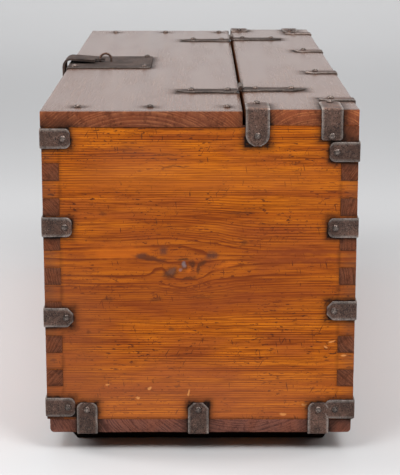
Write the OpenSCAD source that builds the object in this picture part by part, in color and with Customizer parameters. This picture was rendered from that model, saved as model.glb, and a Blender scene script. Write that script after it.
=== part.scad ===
// Iron-bound pine coin chest with a half-width hinged lid and a hasp.
// X runs along the chest, -Y is the lock side, +Z is up. The floor is z = 0 and the
// origin is the middle of the footprint of everything, ironwork included.

/* [Case] */
// Length of the wooden case
case_l = 930; // [800:5:1100]
// Depth of the wooden case, front to back
case_w = 370; // [330:5:450]
// Height of the front wall above the bottom board
wall_h = 357; // [300:1:420]
// Thickness of the four walls
wall_t = 20; // [16:1:24]
// Thickness of the bottom board
bottom_t = 17; // [14:1:20]
// Thickness of the lid and of the fixed rear top board
top_t = 19; // [16:1:24]
// How far the rear top board stands above the lid
rear_rise = 2; // [0:0.5:3]
// Number of finger blocks in the height of a corner, counting both boards
finger_count = 17; // [11:2:21]

/* [Lid] */
// Distance from the front of the case to the back edge of the lid
lid_w = 234.5; // [220:0.5:250]
// Gap between the lid and the rear top board
lid_gap = 3; // [2:0.5:5]
// How far the lid stands proud of the front
lid_overhang = 1; // [0:0.5:3]
// Height of the cleats under the lid
cleat_h = 20; // [14:1:24]
// Width of the cleats under the lid
cleat_w = 25; // [18:1:32]

/* [Feet] */
// Height of the two foot runners
foot_h = 24; // [18:1:40]
// Width of a foot runner along the chest
foot_w = 45; // [35:1:60]
// Distance from the end of the case to a foot runner
foot_inset = 45; // [42:1:80]

/* [Ironwork] */
// Thickness of the straps
iron_t = 2; // [1.5:0.1:2.5]
// Width of the corner straps
strap_w = 23.5; // [20:0.5:28]
// Length of each leg of the corner straps
strap_leg = 34; // [30:0.5:36]
// Radius of a nail head
head_r = 4.5; // [3.5:0.1:5.5]
// Height of a nail head
head_h = 2.3; // [2:0.1:3.5]

/* [Hinges] */
// Distance from the middle of the chest to a hinge
hinge_x = 300; // [200:5:330]
// Width of a hinge leaf at its widest
leaf_w = 34; // [28:1:40]
// Length of a hinge leaf from the pin
leaf_len = 81; // [70:1:90]
// Radius of the hinge pin
hinge_pin_r = 1.7; // [1.5:0.1:2]

/* [Lock] */
// Width of the hasp
hasp_w = 50; // [40:1:54]
// Length of the hasp down the front
hasp_drop = 82; // [60:1:110]
// Radius of the hole for the lock bar
lock_bore_r = 4.5; // [3:0.1:5]

/* [Hidden] */
$fn = 48;
big = 400;                                    // larger than any cut needs
pin_clear = 0.05;                             // radial clearance of a running pin
y_shift = 10;                                 // centres the ironwork's reach front to back

// Heights
z_under = foot_h;                             // underside of the bottom board
z_wall = z_under + bottom_t;                  // foot of the walls
z_rim = z_wall + wall_h;                      // top of the walls under the lid
z_lid = z_rim + top_t;                        // top of the lid
z_rear_rim = z_rim + rear_rise;
z_rear = z_rear_rim + top_t;                  // top of the rear board

// Places across the case
y_front = -case_w / 2 + y_shift;
y_back = case_w / 2 + y_shift;
y_lid_edge = y_front + lid_w;
y_rear_edge = y_lid_edge + lid_gap;
y_hinge = (y_lid_edge + y_rear_edge) / 2;
x_end = case_l / 2;

// Bottom board
bottom_inset_front = 3;
bottom_inset_back = 2;
bottom_edge_r = 5;

// Finger joints
finger_h = wall_h / finger_count;

// Foot runners
foot_setback = 23;                            // from the front and back of the case
foot_bevel = 9;
x_foot = x_end - foot_inset - foot_w / 2;

// Cleats under the lid, just inside the end walls
cleat_clear = 1.5;
x_cleat = x_end - wall_t - cleat_clear - cleat_w / 2;

// Nails: the holes in wood and iron are a little wider than the shanks
shank_r = 1.4;
nail_hole_r = 1.5;
nail_len = 15;
lid_nail_len = 30;
nail_end_inset = 8.5;                         // nail to the end of a strap

// Corner straps, heights of their middles from the top one down
front_strap_z = [z_rim - 13, z_rim - 118.5, z_rim - 229, z_rim - 341.5];
back_strap_z = [z_rim - 28.7, z_rim - 119.4, z_rim - 220.5, z_rim - 344];
strap_corner_r = 6;
low_back_leg = 29;                            // the lowest back straps stop short of a bottom strap
low_back_nail = 22;                           // from the edge: just clear of the back board

// Straps that hold the bottom board, on the ends and along the long edges
bottom_strap_y = [-136.5 + y_shift, -2 + y_shift, 143 + y_shift];
bottom_strap_w = 25;
bottom_strap_up = 38;
bottom_strap_under = 36;
long_strap_x = [-290, -97, 97, 290];

// Straps of the rear top board
bracket_w = 28;
bracket_down = 43;
bracket_in = 45;
y_bracket = y_rear_edge + bracket_w / 2 + 0.5;
bracket_nail_down = 30.8;
rear_strap_w = 25;
rear_strap_down = 36;
rear_strap_in = 52;
y_rear_strap = y_back - 31.5;
rear_edge_x = [388, 128.5, -128.5, -388];
rear_edge_w = 30;
rear_edge_top = 42;
rear_edge_down = 60;
rear_edge_nail = 28;

// Hinges: the pin is above both boards, so the lid can fold right over
z_hinge = z_rear + 4;
barrel_r = 3.6;
plate_gap = 4.4;                              // pin centre to the edge of a leaf's plate
knuckle_w = 14;                               // the lid leaf's knuckle, between the other two
knuckle_gap = 0.3;
lid_leaf_nails = [16, 62];
rear_leaf_nails = [18, 64];

// Hasp plate, its staple and the hasp
hasp_plate_w = 134;
hasp_plate_in = 117;
hasp_plate_down = 16;
hasp_plate_nail_x = 58;
hasp_plate_nails = [9, 108];
y_ring = y_front + 49;
ring_r = 8;                                   // middle of the wire
ring_wire_r = 1.6;
z_ring = z_lid + 5.5;
ring_leg_clear = 0.1;
hasp_t = 3;
hasp_eye_r = 7;
hasp_eye_hole_r = 3.4;
hasp_flat = 6;                                // level stretch in front of the eye
hasp_slope = 4;                               // degrees
hasp_run = 34;
hasp_bend_r = 9;                              // inside of the bend over the lid's edge
hasp_bend_steps = 8;
hasp_tip_w = 36;                              // the narrower end that carries the lock eye
hasp_tip_h = 16;
lock_eye_r = 7.5;
lock_eye_w = 30;
lock_eye_out = 0.8;                           // keeps the eye clear of the hasp's inner face

// Lock plate and its two staples, one on each side of the hasp
lock_plate_w = 124;
lock_plate_h = 140;
lock_plate_corner_r = 18;
z_lock_plate = z_rim - 7;                     // its top edge
lock_plate_nail_inset = 11;
staple_x = 30.5;
staple_t = 5;
staple_r = 8;
staple_tang = 15;
staple_tang_h = 8;
tang_clear = 0.1;

// The hasp's path: end of the sloping stretch, centre of the bend, centre of the eye
y_slope = y_ring - ring_r - hasp_flat;
z_slope = z_ring - hasp_t / 2;
y_run_end = y_slope - hasp_run * cos(hasp_slope);
z_run_end = z_slope + hasp_run * sin(hasp_slope);
y_bend = y_run_end - hasp_bend_r * sin(hasp_slope);
z_bend = z_run_end - hasp_bend_r * cos(hasp_slope);
y_hasp_in = y_bend - hasp_bend_r;             // face of the hasp that lies towards the chest
y_lock = y_hasp_in - lock_eye_r - lock_eye_out;
z_lock = z_bend - hasp_drop;

PINE = [0.62, 0.31, 0.13];
PINE_DARK = [0.45, 0.22, 0.10];
IRON = [0.17, 0.14, 0.13];
NAIL = [0.26, 0.22, 0.20];

CORNERS = ["front_right", "front_left", "back_right", "back_left"];
SIDES = ["right", "left"];

// ---- Places: each module puts its children where the real piece goes ----

module mirrored_to(side) {
    if (side == "left") mirror([1, 0, 0]) children();
    else children();
}

// Upright edges of the right end. Local z = 0 is the end face and -y faces along the wall.
module at_corner(corner, z) {
    is_back = corner == "back_right" || corner == "back_left";
    is_left = corner == "front_left" || corner == "back_left";
    mirrored_to(is_left ? "left" : "right")
        translate([x_end, is_back ? y_back : y_front, z])
            mirror([0, is_back ? 1 : 0, 0])
                rotate([0, 90, 0]) children();
}

function strap_heights(corner) =
    corner == "back_right" || corner == "back_left" ? back_strap_z : front_strap_z;

function is_low_back(corner, i) = i == 4 && (corner == "back_right" || corner == "back_left");

// Leg of corner strap i that lies on the end of the chest, and its nail's distance from the edge
function end_leg(corner, i) = is_low_back(corner, i) ? low_back_leg : strap_leg;
function end_nail(corner, i) =
    is_low_back(corner, i) ? low_back_nail : strap_leg - nail_end_inset;

// Lower edge of an end: leg A goes up the end, leg B goes under the bottom board
module at_bottom_edge(side, y)
    mirrored_to(side) translate([x_end, y, z_under]) rotate([90, 0, 90]) children();

// Lower long edges, front and back
module at_long_edge(x, back)
    translate([x, back ? y_back : y_front, z_under])
        mirror([0, back ? 1 : 0, 0]) rotate([90, 0, 0]) children();

// Upper edge of an end, over the rear top board: leg A on top, leg B down the end
module at_top_end(side, y)
    mirrored_to(side) translate([x_end, y, z_rear]) rotate([0, 0, 90]) children();

// Upper back edge: leg A on top, leg B down the back
module at_rear_edge(x)
    translate([x, y_back, z_rear]) rotate([0, 0, 180]) children();

module at_hinge(side)
    mirrored_to(side) translate([hinge_x, y_hinge, z_hinge]) children();

module on_leg_a(d) translate([0, d, iron_t]) children();
module on_leg_b(d) translate([0, -iron_t, -d]) rotate([90, 0, 0]) children();

// ---- Places of the nails, one module for each group ----

module each_end_nail(side) {
    mirrored_to(side) {
        for (c = ["front_right", "back_right"], i = [1:4])
            at_corner(c, strap_heights(c)[i - 1]) on_leg_a(end_nail(c, i)) children();
        for (y = bottom_strap_y)
            at_bottom_edge("right", y) on_leg_a(bottom_strap_up - nail_end_inset) children();
        at_top_end("right", y_bracket) on_leg_b(bracket_nail_down) children();
        at_top_end("right", y_rear_strap) on_leg_b(bracket_nail_down) children();
    }
}

module each_front_nail() {
    for (c = ["front_right", "front_left"], z = front_strap_z)
        at_corner(c, z) on_leg_b(strap_leg - nail_end_inset) children();
    for (x = long_strap_x)
        at_long_edge(x, false) on_leg_a(bottom_strap_up - nail_end_inset) children();
    for (x = [-1, 1], z = [0, 1])
        translate([x * (lock_plate_w / 2 - lock_plate_nail_inset), y_front - iron_t,
                   z_lock_plate - lock_plate_nail_inset
                   - z * (lock_plate_h - 2 * lock_plate_nail_inset)])
            rotate([90, 0, 0]) children();
}

module each_back_nail() {
    for (c = ["back_right", "back_left"], z = back_strap_z)
        at_corner(c, z) on_leg_b(strap_leg - nail_end_inset) children();
    for (x = long_strap_x)
        at_long_edge(x, true) on_leg_a(bottom_strap_up - nail_end_inset) children();
    for (x = rear_edge_x)
        at_rear_edge(x) on_leg_b(rear_edge_down - nail_end_inset) children();
}

// Nails driven down into the fixed rear top board
module each_top_nail() {
    for (s = SIDES) {
        at_top_end(s, y_bracket) on_leg_a(bracket_in - nail_end_inset) children();
        at_top_end(s, y_rear_strap) on_leg_a(rear_strap_in - nail_end_inset) children();
        for (d = rear_leaf_nails)
            at_hinge(s) translate([0, d, z_rear + iron_t - z_hinge]) children();
    }
    for (x = rear_edge_x) at_rear_edge(x) on_leg_a(rear_edge_nail) children();
}

// Nails driven down into the lid through its own ironwork
module each_lid_iron_nail() {
    for (s = SIDES, d = lid_leaf_nails)
        at_hinge(s) translate([0, -d, z_lid + iron_t - z_hinge]) children();
    for (x = [-1, 1], d = hasp_plate_nails)
        translate([x * hasp_plate_nail_x, y_front - lid_overhang + d, z_lid + iron_t])
            children();
}

// Longer nails through the lid into its cleats
module each_cleat_nail() {
    for (s = SIDES, d = [41, 126, 217])
        mirrored_to(s) translate([x_cleat, y_front + d, z_lid]) children();
}

module each_underside_nail() {
    for (s = SIDES, y = bottom_strap_y)
        at_bottom_edge(s, y) on_leg_b(bottom_strap_under - nail_end_inset) children();
    for (x = long_strap_x, back = [false, true])
        at_long_edge(x, back) on_leg_b(bottom_strap_under - nail_end_inset) children();
}

module nails_lid() {
    each_lid_iron_nail() nail();
    each_cleat_nail() nail(lid_nail_len);
}

// A domed head on a shank; z = 0 is the face that the head sits on
module nail(len = nail_len) {
    dome_r = (head_r * head_r + head_h * head_h) / (2 * head_h);
    color(NAIL) {
        intersection() {
            translate([0, 0, head_h - dome_r]) sphere(r = dome_r);
            cylinder(r = head_r, h = head_h);
        }
        translate([0, 0, -len]) cylinder(r = shank_r, h = len + head_h / 2);
    }
}

module nail_hole(len = nail_len) translate([0, 0, -len - 1]) cylinder(r = nail_hole_r, h = len + 4);

// ---- Iron straps ----

// Flat outline from y = 0 to y = len, with its far corners rounded
module leg_outline(w, len, r) {
    translate([-w / 2, 0]) square([w, len - r]);
    translate([-w / 2 + r, 0]) square([w - 2 * r, len]);
    for (x = [-1, 1]) translate([x * (w / 2 - r), len - r]) circle(r = r);
}

// Diamond with a point at its far end, for the straps that end on the top
module diamond_outline(w, neck_w, start, len) {
    middle = (start + len) / 2;
    translate([-neck_w / 2, 0]) square([neck_w, middle]);
    polygon([[-neck_w / 2, start], [-w / 2, middle - 4], [-w / 2, middle + 2], [0, len],
             [w / 2, middle + 2], [w / 2, middle - 4], [neck_w / 2, start]]);
}

// Outer bend of a strap round a square edge of the case
module bend(w) {
    intersection() {
        rotate([0, 90, 0]) cylinder(r = iron_t, h = w, center = true);
        translate([-w / 2, -iron_t, 0]) cube([w, iron_t, iron_t]);
    }
}

module plate_a() linear_extrude(iron_t) children();
module plate_b() translate([0, -iron_t, 0]) rotate([-90, 0, 0]) linear_extrude(iron_t) children();

module bent_strap(w, a, b, r) {
    color(IRON) {
        plate_a() leg_outline(w, a, r);
        plate_b() leg_outline(w, b, r);
        bend(w);
    }
}

module corner_strap(corner, i) {
    difference() {
        at_corner(corner, strap_heights(corner)[i - 1])
            bent_strap(strap_w, end_leg(corner, i), strap_leg, strap_corner_r);
        at_corner(corner, strap_heights(corner)[i - 1]) {
            on_leg_a(end_nail(corner, i)) nail_hole();
            on_leg_b(strap_leg - nail_end_inset) nail_hole();
        }
    }
}

module bottom_strap() {
    difference() {
        bent_strap(bottom_strap_w, bottom_strap_up, bottom_strap_under, strap_corner_r);
        on_leg_a(bottom_strap_up - nail_end_inset) nail_hole();
        on_leg_b(bottom_strap_under - nail_end_inset) nail_hole();
    }
}

module end_bottom_strap(side, i)
    at_bottom_edge(side, bottom_strap_y[i - 1]) bottom_strap();

module long_edge_straps()
    for (x = long_strap_x, back = [false, true]) at_long_edge(x, back) bottom_strap();

module top_bracket(side) {
    at_top_end(side, y_bracket) difference() {
        color(IRON) {
            plate_a() leg_outline(bracket_w, bracket_in, strap_corner_r);
            plate_b() leg_outline(bracket_w, bracket_down, bracket_w / 2 - 0.5);
            bend(bracket_w);
        }
        on_leg_a(bracket_in - nail_end_inset) nail_hole();
        on_leg_b(bracket_nail_down) nail_hole();
    }
}

module rear_corner_strap(side) {
    at_top_end(side, y_rear_strap) difference() {
        bent_strap(rear_strap_w, rear_strap_in, rear_strap_down, 3);
        on_leg_a(rear_strap_in - nail_end_inset) nail_hole();
        on_leg_b(bracket_nail_down) nail_hole();
    }
}

module rear_edge_strap(i) {
    at_rear_edge(rear_edge_x[i - 1]) difference() {
        color(IRON) {
            plate_a() diamond_outline(rear_edge_w, rear_edge_w - 8, 18, rear_edge_top);
            plate_b() leg_outline(rear_edge_w - 8, rear_edge_down, strap_corner_r);
            bend(rear_edge_w - 8);
        }
        on_leg_a(rear_edge_nail) nail_hole();
        on_leg_b(rear_edge_down - nail_end_inset) nail_hole();
    }
}

// ---- Hinges ----

// Outline of a leaf from the pin outwards: a plate with a waist between its nails, and a point
module leaf_outline(nails) {
    waist = 12;
    wide = leaf_w / 2;
    d1 = nails[0];
    d2 = nails[1];
    half = [[wide, plate_gap], [wide, d1], [waist, d1 + 12], [waist, d2 - 14],
            [wide - 2, d2 - 4], [wide - 2, d2 + 1], [0, leaf_len]];
    polygon(concat(half, [for (i = [len(half) - 2:-1:0]) [-half[i][0], half[i][1]]]));
}

// One knuckle with the web that joins it to its plate; plate_z is the plate's underside
module knuckle(w, plate_z) {
    rotate([0, 90, 0]) cylinder(r = barrel_r, h = w, center = true);
    rotate([90, 0, 90]) linear_extrude(w, center = true)
        polygon([[plate_gap + 3, plate_z], [plate_gap + 3, plate_z + iron_t],
                 [barrel_r * 0.6, barrel_r * 0.75], [barrel_r * 0.2, -barrel_r * 0.8],
                 [plate_gap, plate_z]]);
}

module pin_bore()
    rotate([0, 90, 0]) cylinder(r = hinge_pin_r + pin_clear, h = big, center = true);

module hinge_lid_leaf(side) {
    plate_z = z_lid - z_hinge;
    color(IRON) at_hinge(side) mirror([0, 1, 0]) difference() {
        union() {
            translate([0, 0, plate_z]) linear_extrude(iron_t) leaf_outline(lid_leaf_nails);
            knuckle(knuckle_w - knuckle_gap, plate_z);
        }
        pin_bore();
        for (d = lid_leaf_nails) translate([0, d, plate_z + iron_t]) nail_hole();
    }
}

module hinge_rear_leaf(side) {
    plate_z = z_rear - z_hinge;
    outer_w = (leaf_w - knuckle_w) / 2;
    color(IRON) at_hinge(side) difference() {
        union() {
            translate([0, 0, plate_z]) linear_extrude(iron_t) leaf_outline(rear_leaf_nails);
            for (x = [-1, 1]) translate([x * (knuckle_w + outer_w) / 2, 0, 0])
                knuckle(outer_w - knuckle_gap, plate_z);
        }
        pin_bore();
        for (d = rear_leaf_nails) translate([0, d, plate_z + iron_t]) nail_hole();
    }
}

module hinge_pin(side)
    color(NAIL) at_hinge(side) rotate([0, 90, 0])
        cylinder(r = hinge_pin_r, h = leaf_w + 1, center = true);

// ---- Hasp and lock ----

module hasp_plate() {
    difference() {
        translate([0, y_front - lid_overhang, z_lid]) color(IRON) {
            plate_a() leg_outline(hasp_plate_w, hasp_plate_in, 4);
            plate_b() leg_outline(hasp_plate_w, hasp_plate_down, 4);
            bend(hasp_plate_w);
        }
        each_lid_iron_nail() nail_hole();
        staple_legs(ring_wire_r + ring_leg_clear);
    }
}

// The two straight legs of the hasp's staple
module staple_legs(r) {
    leg = z_ring - z_rim - 1;
    for (y = [-1, 1]) translate([0, y_ring + y * ring_r, z_ring - leg]) cylinder(r = r, h = leg);
}

module hasp_staple() {
    color(NAIL) {
        translate([0, y_ring, z_ring]) rotate([90, 0, 90])
            rotate_extrude(angle = 180) translate([ring_r, 0]) circle(r = ring_wire_r);
        staple_legs(ring_wire_r);
    }
}

// The hasp turns about the middle of its staple's ring: its eye follows the wire round
module hasp() {
    color(IRON) difference() {
        union() {
            translate([0, y_ring - ring_r, z_slope]) cylinder(r = hasp_eye_r, h = hasp_t);
            translate([-hasp_eye_r, y_slope, z_slope]) cube([2 * hasp_eye_r, hasp_flat, hasp_t]);
            rotate([90, 0, 90]) linear_extrude(hasp_w, center = true) hasp_profile();
            translate([-hasp_tip_w / 2, y_hasp_in - hasp_t, z_lock])
                cube([hasp_tip_w, hasp_t, hasp_tip_h]);
            translate([0, y_lock, z_lock]) rotate([0, 90, 0])
                cylinder(r = lock_eye_r, h = lock_eye_w, center = true);
        }
        translate([0, y_ring - ring_r, z_slope - 1]) cylinder(r = hasp_eye_hole_r, h = hasp_t + 2);
        lock_bore();
    }
}

// Points of the bend over the lid's edge, from the end of the slope to straight down
function bend_points(r) = [
    for (i = [0:hasp_bend_steps])
        let (a = 90 - hasp_slope + (90 + hasp_slope) * i / hasp_bend_steps)
        [y_bend + r * cos(a), z_bend + r * sin(a)]
];

// Side view of the hasp's full-width strip, Y across and Z up
module hasp_profile() {
    inner = bend_points(hasp_bend_r);
    outer = bend_points(hasp_bend_r + hasp_t);
    z_end = z_lock + hasp_tip_h;
    polygon(concat(
        [[y_slope, z_slope]], inner, [[y_hasp_in, z_end], [y_hasp_in - hasp_t, z_end]],
        [for (i = [hasp_bend_steps:-1:0]) outer[i]], [[y_slope, z_slope + hasp_t]]
    ));
}

module lock_bore()
    translate([0, y_lock, z_lock]) rotate([0, 90, 0]) cylinder(r = lock_bore_r, h = big, center = true);

module lock_plate() {
    difference() {
        color(IRON) translate([0, y_front, z_lock_plate]) plate_b()
            for (m = [0, 1]) translate([0, m * lock_plate_h / 2])
                mirror([0, 1 - m, 0]) translate([0, (m - 1) * lock_plate_h / 2])
                    leg_outline(lock_plate_w, lock_plate_h / 2, lock_plate_corner_r);
        each_front_nail() nail_hole();
        lock_tangs(tang_clear);
    }
}

module lock_tangs(clear = 0)
    for (x = [-1, 1])
        translate([x * staple_x - staple_t / 2 - clear, y_front - iron_t - 1,
                   z_lock - staple_tang_h / 2 - clear])
            cube([staple_t + 2 * clear, staple_tang + iron_t + 1 + clear,
                  staple_tang_h + 2 * clear]);

// Two flat eyes driven into the front board, one on each side of the hasp
module lock_staples() {
    color(NAIL) difference() {
        union() {
            for (x = [-1, 1]) translate([x * staple_x, 0, 0]) {
                translate([0, y_lock, z_lock]) rotate([0, 90, 0])
                    cylinder(r = staple_r, h = staple_t, center = true);
                translate([-staple_t / 2, y_lock, z_lock - staple_r])
                    cube([staple_t, y_front - iron_t - y_lock, 2 * staple_r]);
            }
            lock_tangs();
        }
        lock_bore();
    }
}

// ---- Boards ----

// Height of finger i's foot; finger 0 is the lowest
function finger_z(i) = z_wall + i * finger_h;

// The front and back boards own the even fingers, so they have the top and bottom ones
module long_wall(height, y) {
    translate([-x_end + wall_t, y, z_wall]) cube([case_l - 2 * wall_t, wall_t, height]);
    for (i = [0:2:finger_count - 1], x = [-x_end, x_end - wall_t])
        translate([x, y, finger_z(i)])
            cube([wall_t, wall_t, (i == finger_count - 1 ? height - i * finger_h : finger_h)]);
}

module front_board() {
    color(PINE) difference() {
        long_wall(wall_h, y_front);
        each_front_nail() nail_hole();
        lock_tangs(tang_clear);
    }
}

module back_board() {
    color(PINE) difference() {
        long_wall(wall_h + rear_rise, y_back - wall_t);
        each_back_nail() nail_hole();
    }
}

module end_board(side) {
    color(PINE) difference() {
        mirrored_to(side) translate([x_end - wall_t, 0, 0]) {
            translate([0, y_front + wall_t, z_wall])
                cube([wall_t, case_w - 2 * wall_t, wall_h]);
            translate([0, y_rear_edge, z_wall])
                cube([wall_t, y_back - wall_t - y_rear_edge, wall_h + rear_rise]);
            for (i = [1:2:finger_count - 2], y = [y_front, y_back - wall_t])
                translate([0, y, finger_z(i)]) cube([wall_t, wall_t, finger_h]);
        }
        each_end_nail(side) nail_hole();
    }
}

module bottom_board() {
    y0 = y_front + bottom_inset_front;
    w = case_w - bottom_inset_front - bottom_inset_back;
    r = bottom_edge_r;
    color(PINE_DARK) difference() {
        translate([0, y0, z_under]) rotate([90, 0, 90]) linear_extrude(case_l, center = true) {
            translate([0, r]) square([w, bottom_t - r]);
            translate([r, 0]) square([w - 2 * r, bottom_t]);
            for (y = [r, w - r]) translate([y, r]) circle(r = r);
        }
        each_underside_nail() nail_hole();
    }
}

module rear_top_board() {
    color(PINE) difference() {
        translate([-x_end, y_rear_edge, z_rear_rim]) cube([case_l, y_back - y_rear_edge, top_t]);
        each_top_nail() nail_hole();
    }
}

module lid_board() {
    color(PINE) difference() {
        translate([-x_end, y_front - lid_overhang, z_rim])
            cube([case_l, lid_w + lid_overhang, top_t]);
        each_lid_iron_nail() nail_hole();
        each_cleat_nail() nail_hole(lid_nail_len);
        staple_legs(ring_wire_r + ring_leg_clear);
    }
}

// The front end of a cleat stays clear of the front wall as the lid swings up
module lid_cleat(side) {
    front_clear = 27;
    back_clear = 4;
    color(PINE_DARK) difference() {
        mirrored_to(side)
            translate([x_cleat - cleat_w / 2, y_front + front_clear, z_rim - cleat_h])
                cube([cleat_w, lid_w - front_clear - back_clear, cleat_h]);
        each_cleat_nail() nail_hole(lid_nail_len);
    }
}

module foot(side) {
    len = case_w - 2 * foot_setback;
    color(PINE_DARK) mirrored_to(side)
        translate([x_foot, y_front + foot_setback, 0]) rotate([90, 0, 90])
            linear_extrude(foot_w, center = true)
                polygon([[foot_bevel, 0], [len - foot_bevel, 0], [len, foot_h / 2],
                         [len, foot_h], [0, foot_h], [0, foot_h / 2]]);
}

bottom_board();
front_board();
back_board();
end_board("right");  // right_end_board
end_board("left");  // left_end_board
rear_top_board();
lid_board();
long_edge_straps();
hasp_plate();
hasp_staple();
hasp();
lock_plate();
lock_staples();
each_end_nail("right") nail();  // nails_right_end
each_end_nail("left") nail();  // nails_left_end
each_front_nail() nail();  // nails_front
each_back_nail() nail();  // nails_back
each_top_nail() nail();  // nails_top
each_underside_nail() nail();  // nails_underside
nails_lid();
for (s = SIDES) {
    lid_cleat(s);
    foot(s);
    top_bracket(s);
    rear_corner_strap(s);
    hinge_lid_leaf(s);
    hinge_rear_leaf(s);
    hinge_pin(s);
    for (i = [1:3])
        end_bottom_strap(s, i);
}
for (i = [1:4]) {
    rear_edge_strap(i);
    for (c = CORNERS)
        corner_strap(c, i);
}
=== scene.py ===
"""Iron-bound pine coin chest: detailed boards, ironwork, nails and materials round the CAD frame."""
import math

import bmesh
import bpy
import numpy as np
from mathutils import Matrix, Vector, noise


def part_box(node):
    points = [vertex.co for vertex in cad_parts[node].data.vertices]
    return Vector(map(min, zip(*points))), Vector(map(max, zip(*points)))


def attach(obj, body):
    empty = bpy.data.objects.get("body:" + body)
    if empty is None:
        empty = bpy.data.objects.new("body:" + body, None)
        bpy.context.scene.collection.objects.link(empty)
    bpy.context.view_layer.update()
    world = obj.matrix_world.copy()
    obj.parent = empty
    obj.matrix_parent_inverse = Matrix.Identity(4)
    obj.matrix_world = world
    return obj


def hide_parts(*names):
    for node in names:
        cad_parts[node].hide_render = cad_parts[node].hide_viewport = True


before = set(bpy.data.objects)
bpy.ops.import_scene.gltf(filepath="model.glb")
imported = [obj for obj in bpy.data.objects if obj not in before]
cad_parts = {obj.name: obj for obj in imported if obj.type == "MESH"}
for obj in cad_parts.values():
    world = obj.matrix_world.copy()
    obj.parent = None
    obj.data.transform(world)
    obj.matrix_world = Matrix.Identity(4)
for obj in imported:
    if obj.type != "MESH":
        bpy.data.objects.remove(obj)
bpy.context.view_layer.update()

MM = 0.001
IRON_T = 2.0 * MM  # thickness of the straps
FINGERS = 17  # finger blocks in the height of a corner
SIDES = (("right", 1.0), ("left", -1.0))
CORNERS = ("front_right", "front_left", "back_right", "back_left")
X, Y, Z = 0, 1, 2


# ---------------- shader helpers

class Shader:
    """A material with a Principled surface, and short calls that add nodes to it."""

    def __init__(self, name):
        self.material = bpy.data.materials.new(name)
        self.material.use_nodes = True
        self.tree = self.material.node_tree
        self.surface = self.tree.nodes["Principled BSDF"]
        self.place = self.add("ShaderNodeTexCoord").outputs["Object"]

    def add(self, kind, **settings):
        made = self.tree.nodes.new(kind)
        for key, value in settings.items():
            setattr(made, key, value)
        return made

    def feed(self, socket, value):
        if isinstance(value, bpy.types.NodeSocket):
            self.tree.links.new(value, socket)
        elif value is not None:
            socket.default_value = value

    def make(self, kind, values, **settings):
        """Adds a node and feeds the sockets that values names, or else its first ones."""
        made = self.add(kind, **settings)
        for key, value in values.items() if isinstance(values, dict) else enumerate(values):
            self.feed(made.inputs[key], value)
        return made.outputs

    def set(self, **values):
        for key, value in values.items():
            self.feed(self.surface.inputs[key.replace("_", " ")], value)

    def math(self, operation, a, b=None, clamp=False):
        return self.make("ShaderNodeMath", (a, b), operation=operation, use_clamp=clamp)[0]

    def plus(self, a, b):
        return self.math("ADD", a, b)

    def minus(self, a, b):
        return self.math("SUBTRACT", a, b)

    def times(self, a, b):
        return self.math("MULTIPLY", a, b)

    def vector(self, operation, a, b):
        return self.make("ShaderNodeVectorMath", (a, b), operation=operation)[0]

    def scaled(self, vector, factor):
        return self.make("ShaderNodeVectorMath", {0: vector, "Scale": factor}, operation="SCALE")[0]

    def split(self, vector):
        return self.make("ShaderNodeSeparateXYZ", (vector,))

    def join(self, x, y, z):
        return self.make("ShaderNodeCombineXYZ", (x, y, z))[0]

    def noise(self, place, scale, detail=2.0, rough=0.5, out=0):
        """Noise as a value, or as a vector with out=1."""
        return self.make("ShaderNodeTexNoise", {"Vector": place, "Scale": scale, "Detail": detail,
                                                "Roughness": rough})[out]

    def cells(self, place, scale):
        return self.make("ShaderNodeTexVoronoi", {"Vector": place, "Scale": scale})["Distance"]

    def remap(self, value, low, high, to_low=0.0, to_high=1.0):
        return self.make("ShaderNodeMapRange", (value, low, high, to_low, to_high),
                         interpolation_type="SMOOTHSTEP")[0]

    def ramp(self, value, stops):
        made = self.add("ShaderNodeValToRGB")
        self.feed(made.inputs[0], value)
        ends = made.color_ramp.elements
        while len(ends) < len(stops):
            ends.new(0.5)
        for end, (at, grey) in zip(ends, stops):
            end.position = at
            end.color = (grey, grey, grey, 1.0)
        return made.outputs[0]

    def mix(self, share, a, b, blend="MIX"):
        return self.make("ShaderNodeMix", {0: share, 6: a, 7: b}, data_type="RGBA", blend_type=blend)[2]

    def attribute(self, name):
        return self.add("ShaderNodeAttribute", attribute_name=name).outputs["Fac"]

    def bump(self, height, depth, strength):
        return self.make("ShaderNodeBump", {"Height": height, "Distance": depth,
                                            "Strength": strength})[0]

    def spot(self, place, centre, radii, soft, turn=(0.0, 0.0, 0.0)):
        """0 outside an ellipsoid at centre, rising to 1 where the distance is soft of the radii."""
        inside = self.make("ShaderNodeMapping", {"Vector": place, "Location": centre, "Rotation": turn,
                                                 "Scale": radii}, vector_type="TEXTURE")[0]
        distance = self.make("ShaderNodeVectorMath", (inside,), operation="LENGTH")[1]
        return self.remap(distance, 1.0, soft)


def rgb(r, g, b):
    return (r, g, b, 1.0)


# ---------------- wood

PINE_EARLY = rgb(0.46, 0.106, 0.007)
PINE_LATE = rgb(0.14, 0.024, 0.0045)
PINE_GOLD = rgb(0.68, 0.185, 0.009)
PINE_RED = rgb(0.33, 0.072, 0.019)
LID_END = (rgb(0.2, 0.06, 0.029), rgb(0.425, 0.15, 0.062))  # end grain and its ring lines
REAR_END = (rgb(0.29, 0.081, 0.035), rgb(0.56, 0.2, 0.074))
WALL_END = (rgb(0.215, 0.073, 0.036), rgb(0.055, 0.02, 0.012))
END_RED = rgb(0.25, 0.06, 0.018)
# painted shade for the faces that look up on the lid and the rear board
TOP_SHADE_TINT = rgb(0.26, 0.33, 0.8)
TOP_PAINTED_SHADE = rgb(0.1, 0.036, 0.014)
CHIP = rgb(0.72, 0.3, 0.09)
# the colour of grime, also used as painted shade in the gap behind the lid
GRIME_AND_GAP_SHADE = rgb(0.012, 0.007, 0.005)
STAIN = rgb(0.07, 0.018, 0.009)
SMALL_MARK = 25.0  # marks with smaller radii, in mm, break up into specks


def stretched(s, grain, factor):
    """A place in which lengths along the grain count factor times."""
    return s.join(s.times(grain[0], factor), grain[1], grain[2])


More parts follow.
